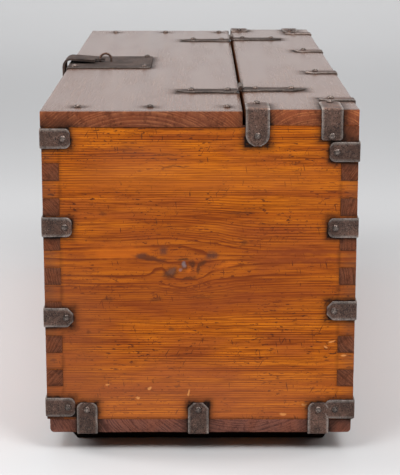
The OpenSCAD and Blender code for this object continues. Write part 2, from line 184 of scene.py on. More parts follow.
def guided_rings(s, slow, ripple):
    """Late wood on the rings that ring_guides() leaves on the mesh: where it is, how bold each ring
    is, and where the rings fade."""
    drift = s.times(s.minus(s.noise(ripple, 0.05), 0.5), 1.1)
    phase = s.plus(s.attribute("ring"), drift)
    gap = s.attribute("gap")
    saw = s.math("FRACT", phase)
    below = s.times(s.minus(1.0, saw), gap)
    reach = s.plus(s.times(gap, 0.2), 1.2)
    late = s.math("MAXIMUM", s.remap(s.math("DIVIDE", below, reach), 1.0, 0.15),
                  s.remap(s.times(saw, gap), 0.8, 0.3))
    bold = s.noise(s.join(s.times(s.math("FLOOR", phase), 0.41), 3.0, 0.0), 1.0, 1.0)
    wide = s.remap(gap, 3.5, 7.0)
    bold = s.math("MAXIMUM", s.remap(bold, 0.35, 0.62, 0.35, 1.0), wide)
    fade = s.math("MAXIMUM", s.remap(s.noise(slow, 0.035, 3.0), 0.3, 0.62, 0.35, 1.0), wide)
    return late, bold, fade


def round_rings(s, mm, across, slow, ripple, pith, spacing, shift, knots):
    """The same on rings round the tree's middle, which give way round the knots."""
    sway = s.times(s.minus(s.noise(slow, 0.016), 0.5), 22.0)
    sway = s.plus(sway, s.times(s.noise(ripple, 0.11), 2.0))
    dv = s.minus(s.plus(across[0], sway), pith[0])
    dw = s.minus(across[1], pith[1])
    ring = s.math("SQRT", s.plus(s.times(dv, dv), s.times(dw, dw)))
    for centre, radii, push in knots:
        ring = s.plus(ring, s.times(s.spot(mm, centre, radii, 0.0), push))
    uneven = s.noise(s.join(ring, shift[0], 0.0), 0.09, 1.0)
    phase = s.plus(s.math("DIVIDE", ring, spacing), s.times(uneven, 4.0))
    late = s.ramp(s.math("FRACT", phase),
                  ((0.0, 0.0), (0.4, 0.05), (0.8, 0.9), (0.94, 1.0), (1.0, 0.0)))
    bold = s.remap(s.noise(s.join(ring, 7.0, shift[1]), 0.13, 1.0), 0.3, 0.7, 0.3, 1.0)
    fade = s.remap(s.noise(slow, 0.03, 3.0), 0.3, 0.72, 0.35, 1.0)
    return late, bold, fade


def wounds(s, own, grain):
    """Flecks along the grain and scratches across it, both in patches."""
    wound = 0.0
    for stretch, size, level in ((0.3, 0.36, 0.6), (0.55, 0.62, 0.635)):
        fleck = s.remap(s.noise(stretched(s, grain, stretch), size, 2.0, 0.6), level, level + 0.05)
        where = s.remap(s.noise(own, 0.017 + 0.01 * size), 0.44, 0.58, 0.12, 1.0)
        wound = s.math("MAXIMUM", wound, s.times(fleck, where))
    for lean, size, level in ((0.15, 0.56, 0.69), (-0.6, 0.5, 0.7)):
        sheared = s.plus(grain[0], s.times(grain[1], lean))
        sheared = s.plus(sheared, s.times(grain[2], lean))
        across = s.join(sheared, s.times(grain[1], 0.13), s.times(grain[2], 0.13))
        cut = s.remap(s.noise(across, size, 1.0, 0.4), level, level + 0.04)
        cut = s.times(cut, s.remap(s.noise(own, 0.026 + size * 0.01, 1.0), 0.5, 0.58))
        wound = s.math("MAXIMUM", wound, cut)
    return wound


def pine(name, along, pith, spacing, shift, marks=(), chips=(), tint=(1.0, 1.0, 1.0), knots=(),
         guided=False, polished_shaded_top=False, end_tones=WALL_END):
    """Old oiled pine. along is the axis of the grain; pith is where the tree's middle lies, in mm, on
    the other two axes; spacing is the ring width in mm; shift moves the noise from board to board.
    A guided board takes its rings from the attributes that ring_guides() leaves on its mesh, and a
    polished one is glossy on top, where painted shade also darkens its colour."""
    s = Shader(name)
    mm = s.scaled(s.place, 1.0 / MM)
    own = s.vector("ADD", mm, shift)
    axes, own_axes = s.split(mm), s.split(own)
    across = (axes[(along + 1) % 3], axes[(along + 2) % 3])
    grain = [own_axes[(along + k) % 3] for k in range(3)]
    slow, ripple = stretched(s, grain, 0.22), stretched(s, grain, 0.1)
    if guided:
        late, bold, fade = guided_rings(s, slow, ripple)
    else:
        late, bold, fade = round_rings(s, mm, across, slow, ripple, pith, spacing, shift, knots)
    end_late = s.times(late, s.remap(s.noise(own, 0.1), 0.35, 0.6, 0.35, 1.0))
    late = s.times(late, s.times(bold, fade))

    # fibres: fine streaks along the grain, and long ones a finger wide
    fibre = s.noise(stretched(s, grain, 0.03), 0.75, 3.0, 0.65)
    streak = s.noise(stretched(s, grain, 0.06), 0.1, 3.0, 0.6)
    red = s.noise(stretched(s, grain, 0.35), 0.03, 3.0, 0.6)
    colour = s.mix(s.remap(streak, 0.36, 0.66), PINE_EARLY, PINE_GOLD)
    colour = s.mix(s.remap(red, 0.44, 0.66, 0.0, 0.6), colour, PINE_RED)
    colour = s.mix(s.times(late, 0.92), colour, PINE_LATE)
    colour = s.mix(s.remap(fibre, 0.46, 0.67, 0.0, 0.78), colour, PINE_LATE)
    colour = s.mix(s.remap(fibre, 0.46, 0.28, 0.0, 0.3), colour, PINE_GOLD)
    wound = wounds(s, own, grain)
    colour = s.mix(s.times(wound, 0.86), colour, STAIN)

    # marks seen on this board: dark knots and streaks, then pale chips
    drift = s.vector("SUBTRACT", s.noise(own, 0.11, out=1), (0.5, 0.5, 0.5))
    bent = s.vector("ADD", mm, s.scaled(drift, 7.0))
    broken = s.remap(s.noise(own, 0.5, 2.0, 0.7), 0.36, 0.58, 0.75, 1.0)
    for centre, radii, turn, strength, tone in marks:
        inside = s.times(s.spot(bent, centre, radii, 0.25, turn), strength)
        if max(radii[1:]) < SMALL_MARK:
            inside = s.times(inside, broken)
        colour = s.mix(inside, colour, tone)
    for centre, radii, turn in chips:
        colour = s.mix(s.times(s.spot(bent, centre, radii, 0.5, turn), 0.75), colour, CHIP)

    # end grain has tones of its own, with lines where the rings are
    facing = s.split(s.add("ShaderNodeTexCoord").outputs["Normal"])
    end = s.remap(s.math("ABSOLUTE", facing[along]), 0.6, 0.9)
    end_colour = s.mix(s.times(end_late, 0.8), *end_tones)
    end_colour = s.mix(s.remap(red, 0.4, 0.65, 0.0, 0.35), end_colour, END_RED)
    end_colour = s.mix(s.remap(s.noise(own, 0.12, 3.0, 0.7), 0.48, 0.7, 0.0, 0.6), end_colour, STAIN)
    pores = s.remap(s.noise(own, 1.0, 2.0, 0.7), 0.35, 0.75, 0.7, 1.15)
    colour = s.mix(end, colour, s.mix(1.0, end_colour, s.join(pores, pores, pores), "MULTIPLY"))
    colour = s.mix(1.0, colour, rgb(*tint), "MULTIPLY")
    # painted shade: on a polished board the colour of the faces that look up is darkened; the same mask
    # gives them their coat
    gloss_and_shade = s.remap(facing[Z], 0.5, 0.9) if polished_shaded_top else 0.0
    if polished_shaded_top:
        even = s.mix(0.76, s.mix(1.0, colour, TOP_SHADE_TINT, "MULTIPLY"), TOP_PAINTED_SHADE)
        colour = s.mix(gloss_and_shade, colour, even)

    # grime collects round the iron and in the joints, and painted shade darkens the gap behind the lid
    patch = s.remap(s.noise(own, 0.07, 3.0, 0.6), 0.25, 0.75, 0.65, 1.35)
    grime_and_gap_shade = s.math("MULTIPLY", s.attribute("grime_and_gap_shade"), patch, clamp=True)
    colour = s.mix(grime_and_gap_shade, colour, GRIME_AND_GAP_SHADE)

    height = s.minus(s.times(fibre, 0.5), s.times(wound, 1.2))
    height = s.plus(height, s.times(late, 0.35))
    height = s.plus(height, s.remap(s.noise(own, 0.045), 0.25, 0.45, -1.0, 0.0))
    rough = s.plus(s.remap(fibre, 0.3, 0.7, 0.36, 0.5), s.times(grime_and_gap_shade, 0.25))
    rough = s.plus(rough, s.times(wound, 0.2))
    relief, coat, coat_rough = 0.6, 0.0, 0.3
    if polished_shaded_top:
        relief = s.minus(relief, s.times(gloss_and_shade, 0.59))
        coat = s.times(gloss_and_shade, s.minus(1.0, s.times(grime_and_gap_shade, 0.9)))
        coat_rough = s.remap(s.noise(slow, 0.025, 1.0), 0.3, 0.7, 0.22, 0.26)
    s.set(Base_Color=colour, Roughness=rough, Normal=s.bump(height, 0.22 * MM, relief),
          Specular_IOR_Level=0.08, Coat_Weight=coat, Coat_Roughness=coat_rough, Coat_IOR=1.55)
    return s.material


# Late wood lines round the knot in the right end board, from the bottom up: the number of the ring
# and the line's (y, height) along the board, in mm.
RING_GUIDES = (
    (0, ((-175, 41),)),
    (38, ((-175, 153),)),
    (56, ((-178, 204), (-84, 203), (-43, 204), (-16, 201), (11, 204), (38, 207), (52, 210), (79, 212),
          (129, 214), (197, 215))),
    (58, ((-178, 212), (-84, 210), (-57, 211), (-37, 210), (-23, 206), (-8, 205), (11, 210), (29, 215),
          (45, 217), (66, 219), (93, 221), (197, 222))),
    (59, ((-178, 220), (-84, 220), (-56, 221), (-48, 224), (-43, 228), (-34, 230), (-27, 223),
          (-19, 216), (-9, 214), (6, 214), (14, 219), (22, 225), (34, 229), (52, 232), (72, 234),
          (86, 236), (129, 237), (197, 237))),
    (60, ((-177, 243), (-122, 245), (-66, 245), (-57, 245), (-43, 241), (-27, 237), (-13, 240),
          (-1, 239), (7, 237), (17, 239), (34, 241), (70, 240), (129, 241), (196, 242))),
    (61, ((-177, 254), (-84, 255), (-43, 257), (-27, 258), (-13, 257), (0, 254), (14, 251), (22, 248),
          (30, 247), (70, 246), (129, 246), (196, 246))),
    (62, ((-177, 264), (-84, 264), (-63, 266), (-29, 267), (-12, 266), (11, 263), (31, 261), (46, 257),
          (63, 254), (86, 252), (196, 252))),
    (83, ((-175, 324),)),
    (116, ((-175, 419),)),
)


def ring_guides(bm):
    """Stores on each vertex the ring number there and the distance between rings."""
    ring = bm.verts.layers.float.new("ring")
    gap = bm.verts.layers.float.new("gap")
    numbers = [number for number, line in RING_GUIDES]
    for vert in bm.verts:
        y, z = vert.co.y / MM, vert.co.z / MM
        heights = [np.interp(y, *zip(*line)) for number, line in RING_GUIDES]
        vert[ring] = np.interp(z, heights, numbers)
        k = min(max(int(np.searchsorted(heights, z)), 1), len(heights) - 1)
        vert[gap] = (heights[k] - heights[k - 1]) / (numbers[k] - numbers[k - 1])


def knot_end_board(name):
    """The right end board, with its knot, dark streaks and chips at (y, height) in mm. They reach
    the same depth under its face."""
    face, mark_depth, chip_depth = 465.0, 60.0, 12.0
    dark, purple, red = rgb(0.085, 0.028, 0.012), rgb(0.12, 0.042, 0.024), rgb(0.22, 0.045, 0.012)
    # grey paints a glint: a highlight on the core of the knot
    grey, amber = rgb(0.3, 0.26, 0.28), rgb(0.6, 0.14, 0.012)
    dusty, corner = rgb(0.44, 0.135, 0.05), rgb(0.15, 0.058, 0.03)
    marks = (
        # y, height, half length, half height, turn, strength, colour
        (10, 243, 270, 74, 0, 0.42, red), (-85, 249, 60, 12, 0, 0.55, amber),
        (40, 232, 22, 5, 0.3, 0.5, amber), (0, 192, 270, 34, 0, 0.44, red),
        (-20, 60, 300, 75, 0, 0.35, dusty), (-160, 130, 90, 150, 0, 0.5, rgb(0.27, 0.075, 0.026)),
        (150, 310, 60, 40, 0, 0.3, red), (0, 338, 260, 26, 0, 0.34, rgb(0.62, 0.175, 0.02)),
        (-178, 225, 30, 260, 0, 0.55, corner), (198, 225, 30, 260, 0, 0.55, corner),
        (-60, 360, 90, 30, 0, 0.2, dusty), (-25, 224, 13, 10, 0.55, 0.92, dark),
        (-24, 226, 8.5, 5.5, 0.55, 0.7, rgb(0.165, 0.075, 0.05)),
        (-33, 251, 7.5, 8.5, 0, 0.9, purple),
        (-50, 242, 28, 4.6, -0.2, 0.9, rgb(0.12, 0.034, 0.014)),
        (-60, 245, 9, 4, 0, 0.7, purple), (-10, 240, 11, 2.6, 0, 0.95, dark),
        (1, 235, 4.2, 9, 0.3, 0.8, dark), (-4, 227, 4.5, 4.5, 0, 0.7, amber),
        # the grey marks here are a painted glint on the knot
        (-9, 232, 8.5, 8, -0.3, 0.75, dark), (-9, 234, 4.2, 4.4, -0.55, 0.5, grey),
        (-13, 228, 2.4, 3.6, -0.3, 0.34, grey), (8, 228, 3, 10, -0.25, 0.8, dark),
        (-4, 217, 13, 2.8, 0.1, 0.8, dark), (13, 236, 9.5, 3.8, 0.6, 0.85, dark),
        (24, 245, 11, 7.5, 0, 0.95, purple), (62, 260, 5.5, 4.5, 0, 0.6, dark),
        (-138, 243, 20, 6.5, 0, 0.6, red), (140, 249, 110, 4.2, 0, 0.75, red),
        (140, 239, 100, 4, 0.02, 0.7, red), (-58, 388, 1.8, 5.5, 0, 0.8, dark),
        (-41, 285, 1, 9, 0.12, 0.7, dark), (-40, 262, 0.9, 10, 0, 0.6, dark),
        (-104, 296, 6, 4.5, 0.3, 0.55, dark), (-70, 370, 22, 5, 0, 0.3, purple),
        (-28, 366, 18, 1.6, 0, 0.55, dark), (-22, 352, 28, 1.5, -0.03, 0.5, dark),
        (-100, 191, 9, 4, 0.2, 0.55, dark), (-43, 191, 11, 3.6, 0, 0.55, dark),
        (-123, 150, 4, 3.5, 0, 0.55, dark), (-24, 154, 6, 3.2, 0.2, 0.6, dark),
        (-84, 150, 11, 1.2, 0, 0.6, red), (-46, 88, 1.6, 2.4, 0, 0.7, dark),
        (-35, 78, 2.2, 1.6, 0, 0.7, dark), (60, 297, 34, 2.2, 0.05, 0.4, dark),
        (12, 194, 26, 1.6, 0, 0.45, dark),
    )
    chips = ((-102, 85, 3.4, 1.8, 0), (-51, 80, 3.6, 2.2, 0), (-65, 69, 3.2, 2.4, 0.2),
             (-4, 74, 1.4, 6, -0.15), (111, 47, 5, 2.6, 0), (168, 139, 5, 1.2, 0),
             (161, 132, 4, 1.1, -0.3), (183, 122, 5, 1.8, 0.2), (180, 141, 3, 1, 0),
             (136, 60, 3, 1.4, 0.2))
    return pine(
        name, Y, (0.0, 0.0), 1.0, (13.0, 21.0, 5.0), guided=True,
        marks=[((face, y, z), (mark_depth, half, up), (turn, 0.0, 0.0), strength, tone)
               for y, z, half, up, turn, strength, tone in marks],
        chips=[((face, y, z), (chip_depth, half, up), (turn, 0.0, 0.0))
               for y, z, half, up, turn in chips])


# ---------------- iron

IRON_BROWN = rgb(0.23, 0.135, 0.102)
IRON_BLACK = rgb(0.022, 0.013, 0.01)
IRON_PIT = rgb(0.016, 0.01, 0.008)
IRON_BARE = rgb(0.34, 0.3, 0.27)
IRON_DUST = rgb(0.38, 0.28, 0.23)


def iron(name, tone, rust, shift, rough=0.46, shine=0.5, metal=0.55, bare=1.0, shade=1.0):
    """Forged iron: brown-black, pitted, with bare light edges where the 'worn' attribute is high.
    bare is how much metal shows there, and shade darkens the whole."""
    s = Shader(name)
    mm = s.vector("ADD", s.scaled(s.place, 1.0 / MM), shift)
    cloud = s.noise(mm, 0.06, 4.0, 0.6)
    grit = s.noise(mm, 0.55, 3.0, 0.7)
    pits = s.remap(s.cells(mm, 0.42), 0.16, 0.34)
    colour = s.mix(s.remap(cloud, 0.35, 0.68), tone, rust)
    colour = s.mix(s.remap(grit, 0.45, 0.72, 0.0, 0.75), colour, IRON_BROWN)
    colour = s.mix(s.remap(grit, 0.48, 0.3, 0.0, 0.6), colour, IRON_BLACK)
    colour = s.mix(s.minus(1.0, pits), colour, IRON_PIT)
    worn = s.times(s.attribute("worn"), s.remap(grit, 0.3, 0.6, 0.25 * bare, bare))
    colour = s.mix(worn, colour, IRON_BARE)
    colour = s.mix(s.remap(s.noise(mm, 0.9, 1.0), 0.62, 0.74, 0.0, 0.6), colour, IRON_DUST)
    blotch = s.remap(s.noise(mm, 0.028, 3.0, 0.65), 0.4, 0.62, 0.62, 1.12)
    colour = s.mix(1.0, colour, blotch, "MULTIPLY")
    colour = s.mix(1.0, colour, rgb(shade, shade, shade), "MULTIPLY")
    height = s.plus(s.times(pits, 0.8), s.times(grit, 0.6))
    height = s.plus(height, s.times(s.noise(mm, 0.12), 1.6))
    roughness = s.minus(s.remap(grit, 0.3, 0.7, rough, rough + 0.2), s.times(worn, 0.16))
    s.set(Base_Color=colour, Metallic=metal, Roughness=roughness, Specular_IOR_Level=shine,
          Normal=s.bump(height, 0.35 * MM, 0.8))
    return s.material


# ---------------- mesh helpers

SHARP_ANGLE = math.radians(38)  # edges sharper than this aren't shaded smooth
CORNER_ANGLE = 0.6  # and a board's edges sharper than this are worn, in radians
TINY = 1e-6
NAIL_SEAT = 0.15 * MM  # how deep a nail's head sits in the iron or the wood
TOP_NAIL_RISE = 1.55  # the heads on the top stand this many times higher than in the CAD
BROAD_SIDE = 200.0 * MM * MM  # a solid's face with a larger area lies flat on the wood


def wobble(point, size, seed):
    """Smooth noise from -1 to 1 that changes over about size metres."""
    return noise.noise(point / size + Vector((seed, seed * 0.7, -seed)))


def link_object(name, data):
    made = bpy.data.objects.new(name, data)
    bpy.context.collection.objects.link(made)
    return made


def smooth_object(name, bm, material):
    """Turns a bmesh into an object that is shaded smooth."""
    mesh = bpy.data.meshes.new(name)
    bm.to_mesh(mesh)
    bm.free()
    mesh.materials.append(material)
    mesh.shade_smooth()
    return link_object(name, mesh)


def finish_piece(node, ending, bm, material, body):
    """Turns a bmesh into the piece that rides on body and stands for the CAD node."""
    piece = smooth_object(f"{node}_{ending}", bm, material)
    piece.data.set_sharp_from_angle(angle=SHARP_ANGLE)
    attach(piece, body)
    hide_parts(node)


def solids_of(node):
    """The faces of each separate solid in a CAD node, as (normal, area, corners), in the same order
    in every run. The node's faces come apart at sharp edges, so its points are joined first."""
    bm = bmesh.new()
    bm.from_mesh(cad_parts[node].data)
    bmesh.ops.remove_doubles(bm, verts=bm.verts, dist=0.001 * MM)
    bm.faces.index_update()
    bm.faces.ensure_lookup_table()
    done, found = set(), []
    for face in bm.faces:
        queue, faces = [face.index], []
        while queue:
            index = queue.pop()
            if index in done:
                continue
            done.add(index)
            face = bm.faces[index]
            faces.append((face.normal.copy(), face.calc_area(), [v.co.copy() for v in face.verts]))
            queue += [f.index for v in face.verts for f in v.link_faces]
        if faces:
            found.append(faces)
    bm.free()
    return sorted(found, key=lambda faces: tuple(corners_of(points_of(faces))[0]))


def points_of(faces):
    return [corner for normal, area, corners in faces for corner in corners]


def corners_of(points):
    low = Vector(min(p[k] for p in points) for k in range(3))
    high = Vector(max(p[k] for p in points) for k in range(3))
    return low, high


def cuts(low, high, step, extra=()):
    """Places from low to high about step apart, and the extra ones."""
    count = max(1, round((high - low) / step))
    places = [low + (high - low) * k / count for k in range(count + 1)]
    places = [p for p in places if all(abs(p - e) > step * 0.35 for e in extra)]
    inner = [e for e in extra if low <= e <= high]
    return sorted(set([low, high] + places + inner))


def slab(us, vs, ws, inside, order):
    """A closed board of square cells: us and vs cut its face, ws its thickness. inside(u, v) says
    which cells are wood, and order gives the axes of u, v and w."""
    bm = bmesh.new()
    known = {}

    def vert(i, j, k):
        if (i, j, k) not in known:
            place = [0.0, 0.0, 0.0]
            place[order[0]], place[order[1]], place[order[2]] = us[i], vs[j], ws[k]
            known[i, j, k] = bm.verts.new(place)
        return known[i, j, k]

    wood = [[inside((us[i] + us[i + 1]) / 2, (vs[j] + vs[j + 1]) / 2) for j in range(len(vs) - 1)]
            for i in range(len(us) - 1)]

    def has(i, j):
        return 0 <= i < len(us) - 1 and 0 <= j < len(vs) - 1 and wood[i][j]

    last = len(ws) - 1
    for i in range(len(us) - 1):
        for j in range(len(vs) - 1):
            if not wood[i][j]:
                continue
            for k in (0, last):
                bm.faces.new([vert(i, j, k), vert(i + 1, j, k), vert(i + 1, j + 1, k),
                              vert(i, j + 1, k)])
            for (a, b), (c, d), out in (((0, 0), (1, 0), (0, -1)), ((0, 1), (1, 1), (0, 1)),
                                        ((0, 0), (0, 1), (-1, 0)), ((1, 0), (1, 1), (1, 0))):
                if has(i + out[0], j + out[1]):
                    continue
                for k in range(last):
                    bm.faces.new([vert(i + a, j + b, k), vert(i + c, j + d, k),
                                  vert(i + c, j + d, k + 1), vert(i + a, j + b, k + 1)])
    bmesh.ops.recalc_face_normals(bm, faces=bm.faces)
    return bm


def plain_slab(xs, ys, zs):
    return slab(xs, ys, zs, lambda x, y: True, (X, Y, Z))


def wear(bm, edge_wear, bevel, seed):
    """Rubs the sharp edges of a board down unevenly, always inwards, and rounds them."""
    bm.normal_update()
    sharp = [e for e in bm.edges if e.calc_face_angle(0.0) > CORNER_ANGLE]
    for vert in {v for e in sharp for v in e.verts}:
        rub = 0.5 + 0.5 * wobble(vert.co, 0.034, seed)
        rub += max(0.0, wobble(vert.co, 0.011, seed + 5.0) - 0.25) * 1.6
        vert.co -= vert.normal * edge_wear * rub
    bmesh.ops.bevel(bm, geom=sharp, offset=bevel, segments=2, profile=0.6, affect="EDGES",
                    clamp_overlap=True)


def nail_places(node):
    """(middle of the head's seat, way out, head radius, head height) of each nail in a CAD node."""
    found = []
    for faces in solids_of(node):
        points = points_of(faces)
        low, high = corners_of(points)
        size, mid = high - low, (low + high) / 2
        axis = max(range(3), key=lambda k: size[k])
        others = [k for k in range(3) if k != axis]
        radius = max(size[k] for k in others) / 2
        seat = next(p[axis] for p in points
                    if math.hypot(*(p[k] - mid[k] for k in others)) > radius * 0.98)
        end = high[axis] if abs(high[axis] - seat) < abs(low[axis] - seat) else low[axis]
        place, out = mid.copy(), Vector((0.0, 0.0, 0.0))
        place[axis] = seat
        out[axis] = 1.0 if end > seat else -1.0
        found.append((place, out, radius, abs(end - seat)))
    return found


def plate_boxes(faces):
    """A thin box at each broad side of a solid that lies flat against the wood or away from it."""
    found = []
    for axis in (X, Y, Z):
        for edge, sign in zip(corners_of(points_of(faces)), (-1.0, 1.0)):
            flat = [face for face in faces if face[0][axis] * sign > 0.999
                    and abs(face[2][0][axis] - edge[axis]) < 0.01 * MM]
            if sum(area for normal, area, corners in flat) > BROAD_SIDE:
                low, high = corners_of(points_of(flat))
                (low if sign > 0 else high)[axis] -= sign * IRON_T
                found.append((low, high))
    return found


def find_iron():
    """The boxes that grime collects round: straps and plates, and the nail heads on the top."""
    found = []
    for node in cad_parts:
        if any(kind in node for kind in ("strap", "bracket", "leaf", "hasp_plate", "lock_plate")):
            found += [box for faces in solids_of(node) for box in plate_boxes(faces)]
    for node in ("nails_top", "nails_lid"):
        for seat, out, radius, height in nail_places(node):
            head = Vector((radius, radius, height))
            found.append((seat - head, seat + head))
    return found


def soil(bm, reach, seams=()):
    """Stores grime and painted shade on a board as an attribute: dark close to the iron, fading over
    reach metres, and dark in the seams, which are given as (lowest corner, highest corner, how dark).
    In the gap behind the lid the seams are painted shade."""
    layer = bm.verts.layers.float.new("grime_and_gap_shade")
    points = np.array([v.co for v in bm.verts])
    grime_and_gap_shade = np.zeros(len(points))
    around_iron = [(low, high, reach, 0.92) for low, high in iron_boxes]
    along_seams = [(low, high, 1.2 * MM, depth) for low, high, depth in seams]
    for low, high, fade, depth in around_iron + along_seams:
        gap = np.maximum(0.0, np.maximum(np.array(low) - points, points - np.array(high)))
        grime_and_gap_shade = np.maximum(grime_and_gap_shade, depth * np.exp(-((np.linalg.norm(gap, axis=1) / fade) ** 1.3)))
    for vert, value in zip(bm.verts, grime_and_gap_shade):
        vert[layer] = value
    return bm


# ---------------- boards

GRID = 5.0 * MM  # cells of the boards, in metres
LONG_GRID = 8.0 * MM  # along the length of the chest
END_GRID = 3.5 * MM
BAR_GRID = 12.0 * MM
front_low, front_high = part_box("front_board")
back_low, back_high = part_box("back_board")
lid_back_y, rear_front_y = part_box("lid_board")[1].y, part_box("rear_top_board")[0].y
wall_t = front_high.y - front_low.y
rim = front_high.z
finger_h = (rim - front_low.z) / FINGERS
finger_edges = [front_low.z + k * finger_h for k in range(1, FINGERS)]
iron_boxes = find_iron()


def joint_seams(low, high):
    """The lines where the finger blocks of the end boards and the long boards meet, and the lines
    where the end boards meet the lid and the bottom board."""
    found = []
    for x in (low.x, high.x):
        found.append((Vector((x, low.y, rim)), Vector((x, lid_back_y, rim)), 0.9))
        found.append((Vector((x, low.y, front_low.z)), Vector((x, high.y, front_low.z)), 0.5))
    for at_y, inner_y in ((low.y, low.y + wall_t), (high.y, high.y - wall_t)):
        for at_x, inner_x in ((low.x, low.x + wall_t), (high.x, high.x - wall_t)):
            for z in finger_edges:
                a, b = (at_x, at_y, z), (inner_x, inner_y, z)
                found.append((Vector(map(min, a, b)), Vector(map(max, a, b)), 0.35))
            for x, y in ((at_x, inner_y), (inner_x, at_y)):
                found.append((Vector((x, y, front_low.z)), Vector((x, y, rim)), 0.35))
    return found


corner_seams = joint_seams(front_low, back_high)


def finger_index(z):
    return min(FINGERS - 1, int((z - front_low.z) / finger_h))


def top_board(node, seed):
    """The lid or the rear board, with painted shade and grime in the gap between them, most near the
    top.
    """
    low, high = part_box(node)
    bm = plain_slab(cuts(low.x, high.x, LONG_GRID), cuts(low.y, high.y, GRID), [low.z, high.z])
    wear(bm, 0.5 * MM, 0.8 * MM, seed)
    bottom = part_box("rear_top_board")[0].z - wall_t
    # painted shade in the gap between the lid and the rear board: black in its top 2 mm, less dark
    # lower down
    seams = [(Vector((low.x, lid_back_y, z)), Vector((high.x, rear_front_y, high.z)), depth)
             for z, depth in ((bottom, 0.42), (high.z - 2.0 * MM, 1.0))]
    return soil(bm, 6.5 * MM, seams)


def long_board(node, seed):
    """The front or back board, with a finger at every even step."""
    low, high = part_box(node)
    inner_low, inner_high = low.x + wall_t, high.x - wall_t

    def inside(x, z):
        return inner_low < x < inner_high or finger_index(z) % 2 == 0

    bm = slab(cuts(low.x, high.x, LONG_GRID, (inner_low, inner_high)),
              cuts(low.z, high.z, GRID, finger_edges), [low.y, high.y], inside, (X, Z, Y))
    wear(bm, 0.3 * MM, 0.5 * MM, seed)
    return soil(bm, 5.0 * MM, corner_seams)


def end_board(node, seed):
    """An end board, with a finger at every odd step and a tongue under the rear board."""
    low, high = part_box(node)
    inner_low, inner_high = low.y + wall_t, high.y - wall_t

    def inside(y, z):
        if z > rim:
            return rear_front_y < y < inner_high
        return inner_low < y < inner_high or finger_index(z) % 2 == 1

    bm = slab(cuts(low.y, high.y, END_GRID, (inner_low, inner_high, rear_front_y)),
              cuts(low.z, high.z, END_GRID, finger_edges + [rim]), [low.x, high.x], inside, (Y, Z, X))
    wear(bm, 0.3 * MM, 0.5 * MM, seed)
    ring_guides(bm)
    return soil(bm, 4.5 * MM, corner_seams)


def bottom_board(node):
    """Its long lower edges are rounded over."""
    low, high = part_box(node)
    margin = 8.0 * MM
    ys = [low.y, low.y + margin] + cuts(low.y + margin, high.y - margin, GRID * 2)[1:] + [high.y]
    bm = plain_slab(cuts(low.x, high.x, LONG_GRID), ys, [low.z, high.z])
    long_edges = [e for e in bm.edges if all(abs(v.co.z - low.z) < TINY for v in e.verts)
                  and e.calc_face_angle(0.0) > CORNER_ANGLE
                  and abs(e.verts[0].co.y - e.verts[1].co.y) < TINY]
    bmesh.ops.bevel(bm, geom=long_edges, offset=5.0 * MM, segments=4, profile=0.5, affect="EDGES")
    wear(bm, 0.5 * MM, 0.6 * MM, 9.0)
    return soil(bm, 6.0 * MM)


def bar(node, levels, cut_back, bevel, seed, reach):
    """A foot or a cleat, with its ends cut back by cut_back towards the bottom."""
    low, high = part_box(node)
    bm = plain_slab(cuts(low.x, high.x, BAR_GRID), cuts(low.y, high.y, BAR_GRID),
                    [low.z + (high.z - low.z) * k / levels for k in range(levels + 1)])
    for vert in bm.verts:
        if vert.co.z < low.z + TINY:
            share = (vert.co.y - low.y) / (high.y - low.y)
            vert.co.y += cut_back * (1.0 - 2.0 * share)
    wear(bm, 0.8 * MM, bevel, seed)
    return soil(bm, reach)


def build_boards():
    top = 416.0
    lid_wood = pine("pine_lid", X, (-60.0, top - 140.0), 4.0, (40.0, 300.0, 77.0), polished_shaded_top=True,
                    end_tones=LID_END)
    rear_wood = pine("pine_rear_top", X, (150.0, top - 90.0), 4.0, (400.0, 12.0, 50.0),
                     polished_shaded_top=True, end_tones=REAR_END)
    front_wood = pine("pine_front", X, (-290.0, 190.0), 3.2, (120.0, 55.0, 310.0),
                      knots=(((-190.0, -175.0, 262.0), (80.0, 60.0, 30.0), 16.0),))
    back_wood = pine("pine_back", X, (330.0, 260.0), 3.4, (610.0, 95.0, 130.0))
    left_wood = pine("pine_left_end", Y, (245.0, -410.0), 2.9, (930.0, 410.0, 120.0),
                     knots=(((-465.0, 70.0, 300.0), (60.0, 60.0, 26.0), 14.0),))
    under_wood = pine("pine_bottom", X, (60.0, 150.0), 3.4, (90.0, 130.0, 35.0), tint=(1.05, 1.2, 1.7))
    # painted shade: the feet are tinted near black, as if in the shadow under the chest
    shaded_foot_wood, cleat_wood = (pine(name, Y, (-30.0, 300.0), 3.4, (10.0, 30.0, 95.0), tint=tint)
                             for name, tint in (("pine_foot_painted_shade", (0.012, 0.017, 0.045)),
                                                ("pine_cleat", (0.3, 0.36, 0.55))))

    def add(node, bm, wood, body="chest"):
        finish_piece(node, "wood", bm, wood, body)

    add("front_board", long_board("front_board", 2.0), front_wood)
    add("back_board", long_board("back_board", 3.0), back_wood)
    right_wood = knot_end_board("pine_right_end")
    for side, wood, seed in (("right", right_wood, 1.0), ("left", left_wood, 8.0)):
        end, foot, cleat = f"{side}_end_board", f"foot_{side}", f"lid_cleat_{side}"
        add(end, end_board(end, seed), wood)
        add(foot, bar(foot, 2, 9.0 * MM, 1.2 * MM, 4.0, 5.0 * MM), shaded_foot_wood)
        add(cleat, bar(cleat, 1, 0.0, 1.4 * MM, 6.0, 4.0 * MM), cleat_wood, "lid")
    add("lid_board", top_board("lid_board", 11.0), lid_wood, body="lid")
    add("rear_top_board", top_board("rear_top_board", 12.0), rear_wood)
    add("bottom_board", bottom_board("bottom_board"), under_wood)


# ---------------- ironwork

def new_iron():
    bm = bmesh.new()
    return bm, bm.verts.layers.float.new("worn")


def close_iron(node, bm, material, body="chest", ending="iron"):
    bmesh.ops.recalc_face_normals(bm, faces=bm.faces)
    finish_piece(node, ending, bm, material, body)


def add_ring(bm, a, b):
    """Joins two rings with the same number of points."""
    for k in range(len(a)):
        nxt = (k + 1) % len(a)
        bm.faces.new([a[k], a[nxt], b[nxt], b[k]])


